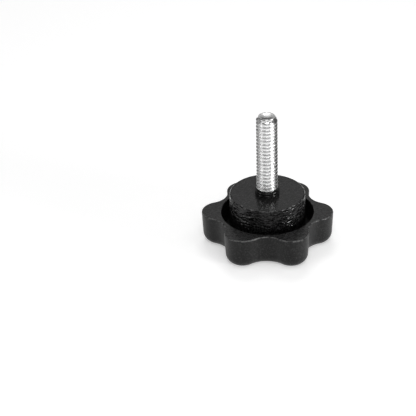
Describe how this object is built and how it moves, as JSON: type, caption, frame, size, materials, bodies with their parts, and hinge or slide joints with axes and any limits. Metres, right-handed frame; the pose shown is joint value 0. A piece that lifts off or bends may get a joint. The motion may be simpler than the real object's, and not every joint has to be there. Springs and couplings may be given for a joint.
{
  "type": "star knob",
  "caption": "Lobed plastic star knob with a relieved underside, a raised round hub and a moulded-in right-hand threaded steel stud, for clamping by hand.",
  "frame": {"origin": "centre of the flat rest face, which is the outer face of the head; the knob stands on it with its stud up", "axes": "+Z runs along the stud, from the head to the stud's tip; +X points through the middle of one lobe; -Y points through a valley"},
  "size_m": [0.049, 0.0442, 0.052],
  "materials": {
    "black_plastic": "satin moulded thermoplastic, black",
    "plated_steel": "bright zinc plate"
  },
  "bodies": {
    "root": {"knob_body": "black_plastic", "threaded_stud": "plated_steel"}
  },
  "joints": []
}
